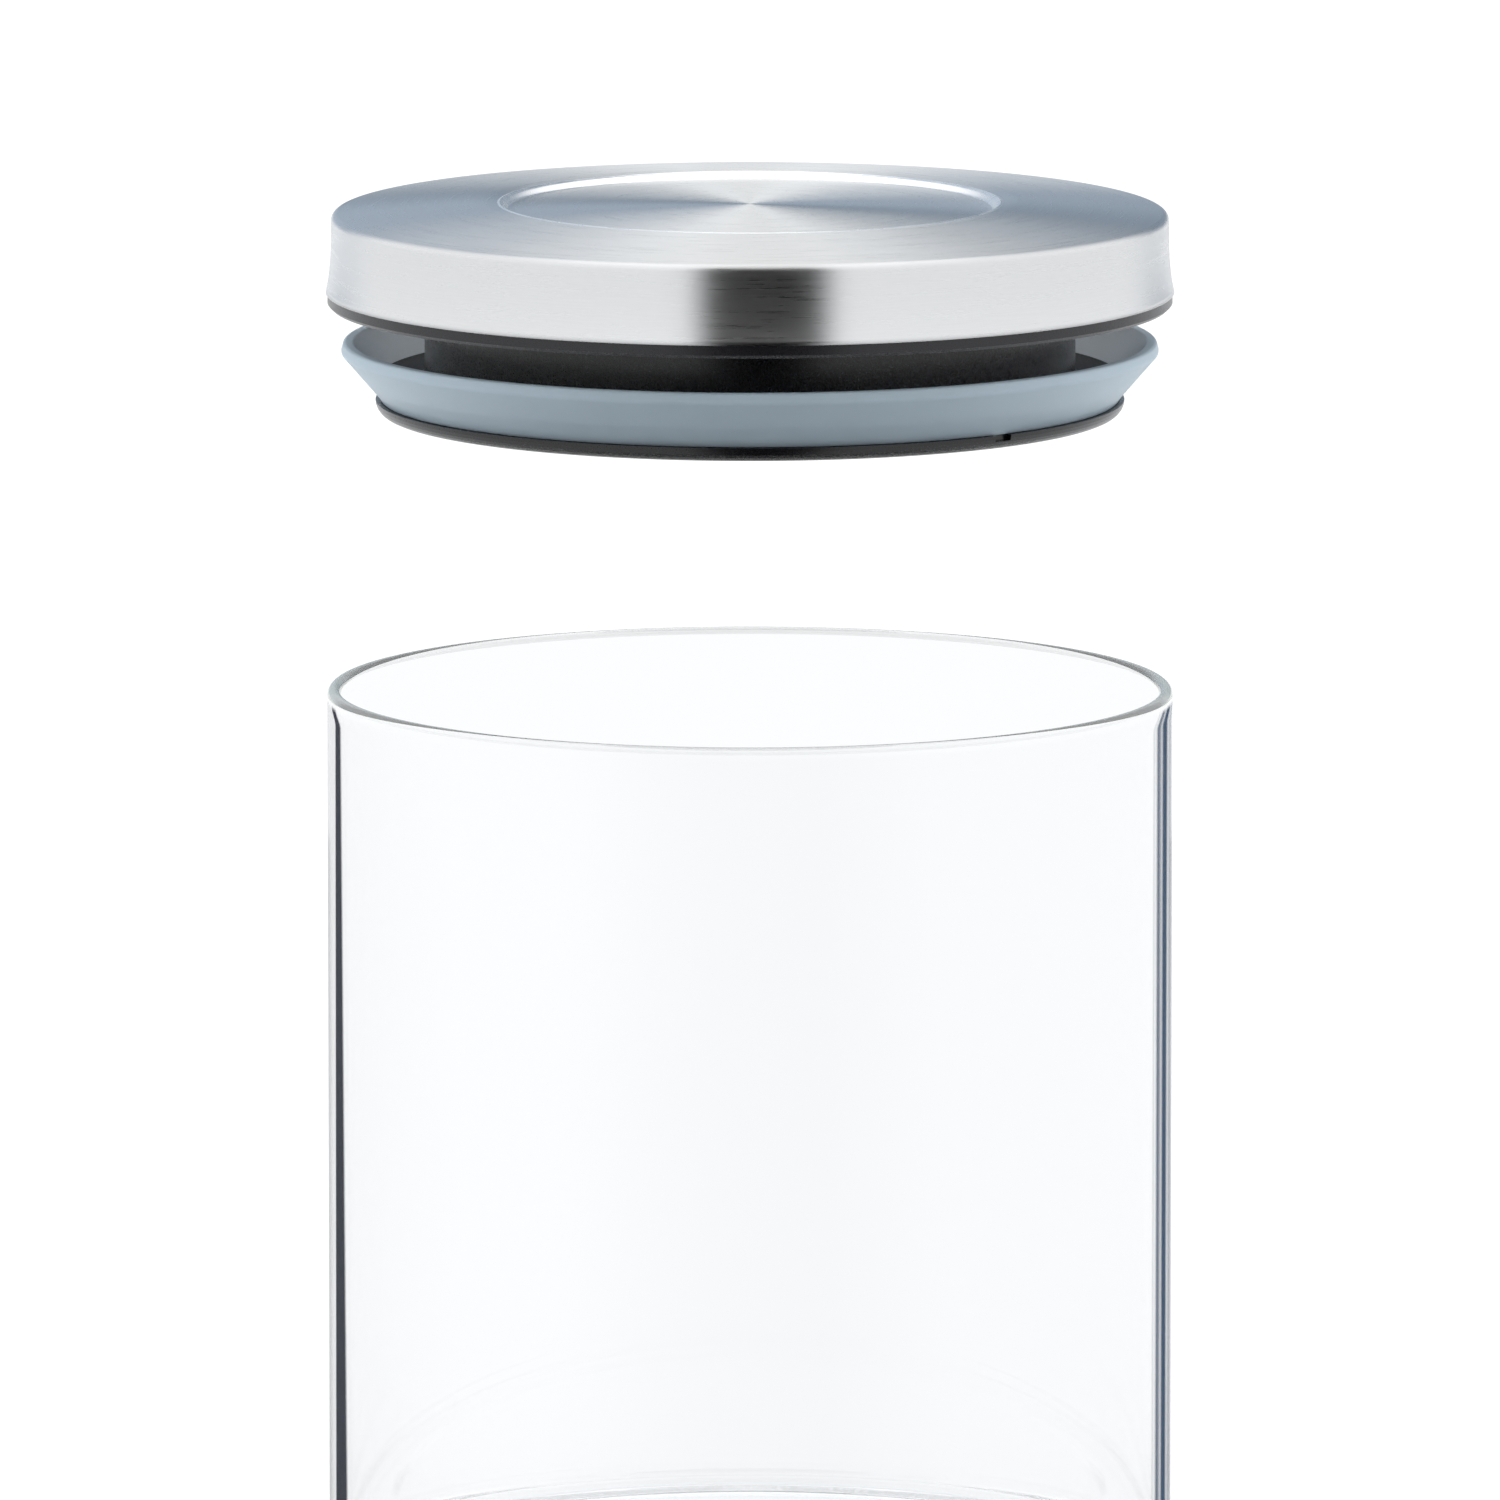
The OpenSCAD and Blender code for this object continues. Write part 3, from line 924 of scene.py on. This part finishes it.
# %% [markdown]
# The hub: a short drum with a shoulder that carries the seal, hollow so that it moulds without sinking.
# Under the shoulder a small cone centres the seal.

# %% The hub's measures
shoulder_w = 5.3 * MM
hub_wall = 1.8 * MM
shoulder_wall = 2.8 * MM
hub_h = 8.4 * MM
cone_drop = 1.2 * MM
hub_fillet = 0.7 * MM
spark_from = 0.6 * MM           # how far from the drum the sparked skin starts
crisp = 0.1 * MM                # the rounding of an edge that a good mould leaves
shoulder_r = hub_high.x
hub_r = shoulder_r - shoulder_w
hub_in_r = hub_r - hub_wall
shoulder_in_r = hub_r - shoulder_wall
hub_floor_z = seat_z - hub_h
shoulder_z = hub_low.z
cone_foot = (shoulder_r - cone_drop, shoulder_z, crisp)
cone_head = (shoulder_r, shoulder_z + cone_drop, 0.08 * MM)
print(f"hub: drum {2 * hub_r / MM:.1f} mm wide, shoulder {2 * shoulder_r / MM:.1f} mm wide")

# %% [markdown]
# The frame's own mesh has sharp corners, and a black piece shows itself mostly by the light along its
# edges, so the hub is spun again with each corner rounded. Only the top of the shoulder is sparked.

# %% Hub

hub = spin("hub_drum", rounded([
    (hub_in_r, seat_z, crisp),
    (hub_in_r, hub_floor_z, 0.2 * MM),
    (shoulder_in_r, hub_floor_z, crisp),
    (shoulder_in_r, shoulder_z, crisp),
    cone_foot,
    cone_head,
    (shoulder_r, hub_floor_z, 0.12 * MM),
    (hub_r, hub_floor_z, hub_fillet),
    (hub_r, seat_z, crisp),
]), hub_black)
hub.data.materials.append(sparked_black)
for face in hub.data.polygons:
    reach = math.hypot(face.center.x, face.center.y)
    if abs(face.center.z - hub_floor_z) < crisp and reach > hub_r + spark_from:
        face.material_index = 1
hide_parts("hub_cup")
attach(hub, "lid")

# %% [markdown]
# Silicone. The ring is milky: it lets much of the light through, blurred, and scatters the rest with a
# slight blue tint. True scattering inside it would be slow and grainy in so thin a lip. A mix of a
# milky shader and a blurred clear one gives the same look: slate blue before the black hub, and nearly
# white where light comes through.

# %% Silicone
MILK_DARK, MILK_LIGHT = (0.61, 0.75, 0.855), (0.69, 0.835, 0.935)
CLEAR_SHARE = 0.42


def frosted_silicone():
    material, tree, milk = new_finish("frosted_silicone", IOR=1.41)
    place = object_position(tree)
    cloud = noise(tree, place, 1 / (5 * MM), 4.0)
    fine = noise(tree, place, 1 / (0.15 * MM), 3.0)
    tree.links.new(colour_mix(tree, cloud, MILK_DARK, MILK_LIGHT), milk.inputs["Base Color"])
    tree.links.new(smooth_between(tree, cloud, 0.3, 0.7, 0.38, 0.46), milk.inputs["Roughness"])
    bump(tree, milk, fine, 0.004 * MM)
    clear = add_node(tree, "ShaderNodeBsdfPrincipled")
    clear.inputs["Base Color"].default_value = (0.97, 0.975, 0.97, 1)
    clear.inputs["Transmission Weight"].default_value = 1.0
    clear.inputs["Roughness"].default_value = 0.34
    clear.inputs["IOR"].default_value = 1.18
    mix_shaders(tree, CLEAR_SHARE, milk, clear)
    return material


silicone = frosted_silicone()
print("finish:", silicone.name)

# %% [markdown]
# The seal. Its foot lies flat between the shoulder and the disc, and its lip flares up and out, to
# wipe the inside of the neck. Silicone can't hold a sharp edge, so its outline has the softest corners
# of all. Where it touches the shoulder it repeats the shoulder's corners, so the two fit.

# %% Seal
lip_r = seal_high.x
lip_top_z = seal_high.z
foot_z = seal_low.z
foot_gap, bend_gap = 4.9 * MM, 4.5 * MM         # from the neck to the foot's edge, and to its bend
foot_t = 0.65 * MM
lip_w, lip_lean, lip_face = 1.5 * MM, 0.35 * MM, 1.2 * MM

seal = spin("seal_lip", rounded([
    (shoulder_in_r, foot_z, crisp),
    (bore_r - foot_gap, foot_z, 0.3 * MM),
    (bore_r - bend_gap, foot_z + foot_t, 2.0 * MM),
    (lip_r, lip_top_z - lip_face, 0.6 * MM),
    (lip_r - lip_lean, lip_top_z, 0.45 * MM),
    (lip_r - lip_w, lip_top_z, 0.4 * MM),
    (shoulder_r, hub_floor_z, 0.6 * MM),
    cone_head,
    cone_foot,
    (shoulder_in_r, shoulder_z, crisp),
]), silicone)
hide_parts("seal_ring")
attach(seal, "lid")

# %% [markdown]
# The plate, the keeper disc and the adhesive bead are already the right shape in the frame, down to
# the small notch for prying the disc off. Making them again would gain nothing, so they keep their
# meshes and only get their finishes. The adhesive is a cloudy bead that was squeezed flat.

# %% Finishes for the frame's own pieces
GLUE_DARK, GLUE_LIGHT = (0.60, 0.59, 0.53), (0.76, 0.75, 0.70)


def adhesive():
    material, tree, bead = new_finish("adhesive", IOR=1.45)
    cloud = noise(tree, object_position(tree), 1 / (1.2 * MM), 4.0)
    tree.links.new(colour_mix(tree, cloud, GLUE_DARK, GLUE_LIGHT), bead.inputs["Base Color"])
    tree.links.new(smooth_between(tree, cloud, 0.3, 0.7, 0.3, 0.5), bead.inputs["Roughness"])
    bump(tree, bead, cloud, 0.03 * MM)
    return material


frame_finishes = {"cap_liner": plate_black, "keeper_disc": keeper_black, "bond_ring": adhesive()}
for node, finish in frame_finishes.items():
    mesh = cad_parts[node].data
    mesh.materials.clear()
    mesh.materials.append(finish)
    print(node, len(mesh.polygons), "faces kept from the frame")
